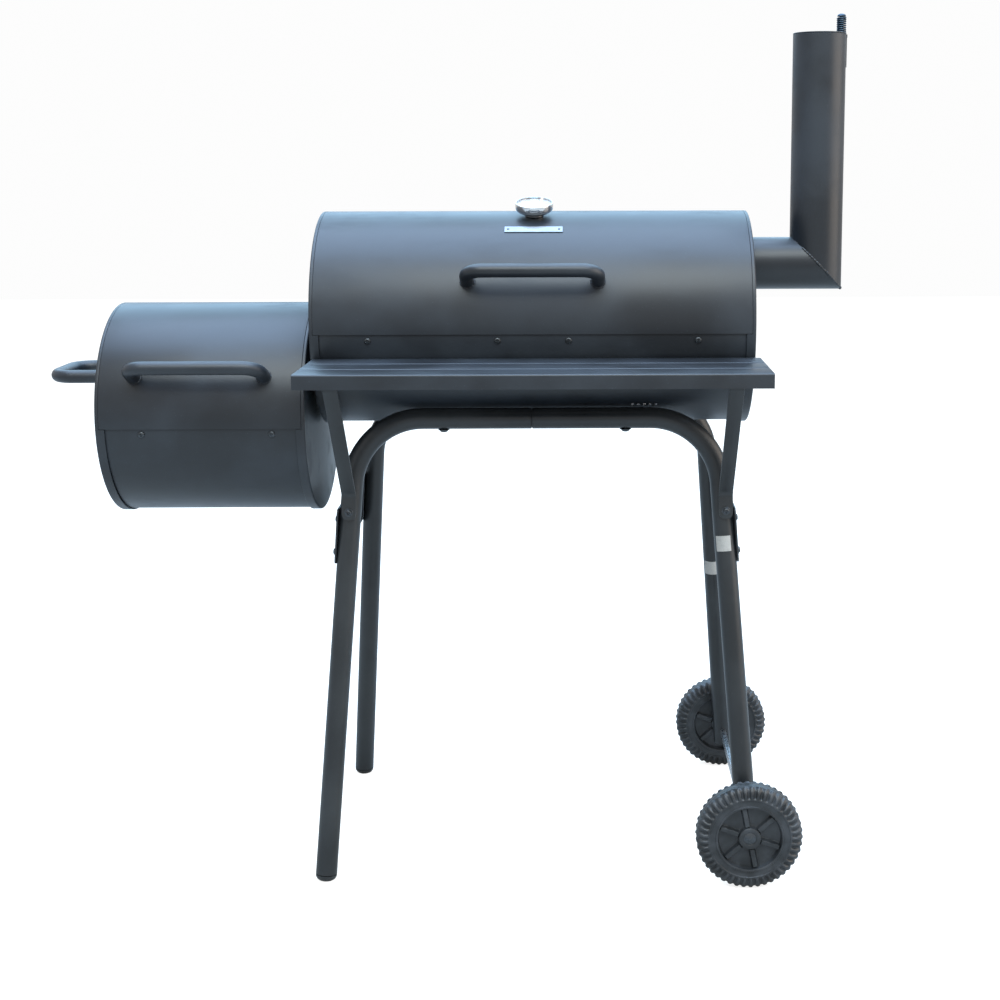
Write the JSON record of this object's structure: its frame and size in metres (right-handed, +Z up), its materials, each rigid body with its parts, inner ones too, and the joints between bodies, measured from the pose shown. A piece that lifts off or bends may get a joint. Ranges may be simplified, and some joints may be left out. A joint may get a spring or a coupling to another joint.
{
  "type": "offset smoker",
  "caption": "Charcoal smoker with a lidded barrel, a lower side firebox, an elbowed smoke stack with a swivel flap, a front shelf and a splayed tube stand on two wheels and two feet.",
  "frame": {"origin": "centre of the model's box, on the ground", "axes": "+X from the firebox towards the smoke stack, +Y to the back, +Z up"},
  "size_m": [1.1616, 0.5476, 1.2217],
  "materials": {
    "satin_black_paint": "heat-resistant black paint, satin",
    "stand_paint": "black powder coat, satin",
    "grate_iron": "black enamel over steel, slightly rough",
    "zinc_steel": "zinc plated, bright",
    "chrome_plate": "polished chrome",
    "clear_glass": "clear, polished",
    "pointer_red": "matt red lacquer",
    "plate_steel": "satin silver",
    "wheel_plastic": "moulded, matt",
    "black_plastic": "moulded, matt"
  },
  "bodies": {
    "smoker_body": {"barrel_shell": "satin_black_paint", "barrel_left_end": "satin_black_paint", "barrel_right_end": "satin_black_paint", "barrel_left_hinge_body_leaf": "satin_black_paint", "barrel_right_hinge_body_leaf": "satin_black_paint", "firebox_shell": "satin_black_paint", "firebox_left_end": "satin_black_paint", "firebox_right_end": "satin_black_paint", "firebox_hinge_body_leaf": "satin_black_paint", "smoke_collar": "satin_black_paint", "lifting_handle": "satin_black_paint", "stack_stub": "satin_black_paint", "stack_pipe": "satin_black_paint", "flap_bracket": "satin_black_paint", "shelf_slat_front": "satin_black_paint", "shelf_slat_middle": "satin_black_paint", "shelf_slat_rear": "satin_black_paint", "front_left_leg": "stand_paint", "front_right_leg": "stand_paint", "rear_left_leg": "stand_paint", "rear_right_leg": "stand_paint", "left_side_plate": "stand_paint", "right_side_plate": "stand_paint", "left_shelf_support": "stand_paint", "right_shelf_support": "stand_paint", "barrel_front_grate_ledge": "grate_iron", "barrel_rear_grate_ledge": "grate_iron", "cooking_grate_left": "grate_iron", "cooking_grate_right": "grate_iron", "charcoal_tray": "grate_iron", "firebox_front_grate_ledge": "grate_iron", "firebox_rear_grate_ledge": "grate_iron", "firebox_cooking_grate": "grate_iron", "firebox_charcoal_grate": "grate_iron", "barrel_left_hinge_pin": "zinc_steel", "barrel_right_hinge_pin": "zinc_steel", "firebox_hinge_pin": "zinc_steel", "shutter_rivet": "zinc_steel", "flap_pivot_bolt": "zinc_steel", "flap_spring": "zinc_steel", "wheel_axle": "zinc_steel", "front_axle_cap": "zinc_steel", "rear_axle_cap": "zinc_steel", "front_foot_plug": "black_plastic", "rear_foot_plug": "black_plastic"},
    "barrel_lid": {"barrel_lid": "satin_black_paint", "barrel_lid_handle": "satin_black_paint", "barrel_left_hinge_lid_leaf": "satin_black_paint", "barrel_right_hinge_lid_leaf": "satin_black_paint", "thermometer_case": "chrome_plate", "thermometer_glass": "clear_glass", "name_plate": "plate_steel"},
    "thermometer_pointer": {"thermometer_pointer": "pointer_red"},
    "firebox_lid": {"firebox_lid": "satin_black_paint", "firebox_lid_handle": "satin_black_paint", "firebox_hinge_lid_leaf": "satin_black_paint"},
    "stack_flap": {"stack_flap": "satin_black_paint"},
    "air_shutter": {"air_shutter": "satin_black_paint"},
    "front_wheel": {"front_wheel": "wheel_plastic"},
    "rear_wheel": {"rear_wheel": "wheel_plastic"}
  },
  "joints": [
    {"name": "barrel_lid_hinge", "type": "hinge", "parent": "smoker_body", "child": "barrel_lid", "pos_m": [0.12527, 0.19701, 0.8035], "axis": [-1, 0, 0], "range_deg": [0, 100]},
    {"name": "firebox_lid_hinge", "type": "hinge", "parent": "smoker_body", "child": "firebox_lid", "pos_m": [-0.33773, 0.19552, 0.67232], "axis": [-1, 0, 0], "range_deg": [0, 100]},
    {"name": "stack_flap_swivel", "type": "hinge", "parent": "smoker_body", "child": "stack_flap", "pos_m": [0.57177, 0.0642, 1.191], "axis": [0, 0, -1], "range_deg": [0, 130]},
    {"name": "air_shutter_turn", "type": "hinge", "parent": "smoker_body", "child": "air_shutter", "pos_m": [-0.48423, 0.0382, 0.575], "axis": [1, 0, 0], "range_deg": [0, 60]},
    {"name": "thermometer_pointer_turn", "type": "hinge", "parent": "barrel_lid", "child": "thermometer_pointer", "pos_m": [0.12527, -0.00549, 0.94705], "axis": [0, 0.2588, -0.9659], "range_deg": [0, 270]},
    {"name": "front_wheel_spin", "type": "hinge", "parent": "smoker_body", "child": "front_wheel", "pos_m": [0.42473, -0.1793, 0.075], "axis": [0, 1, 0], "continuous": true},
    {"name": "rear_wheel_spin", "type": "hinge", "parent": "smoker_body", "child": "rear_wheel", "pos_m": [0.42473, 0.2557, 0.075], "axis": [0, 1, 0], "continuous": true}
  ]
}
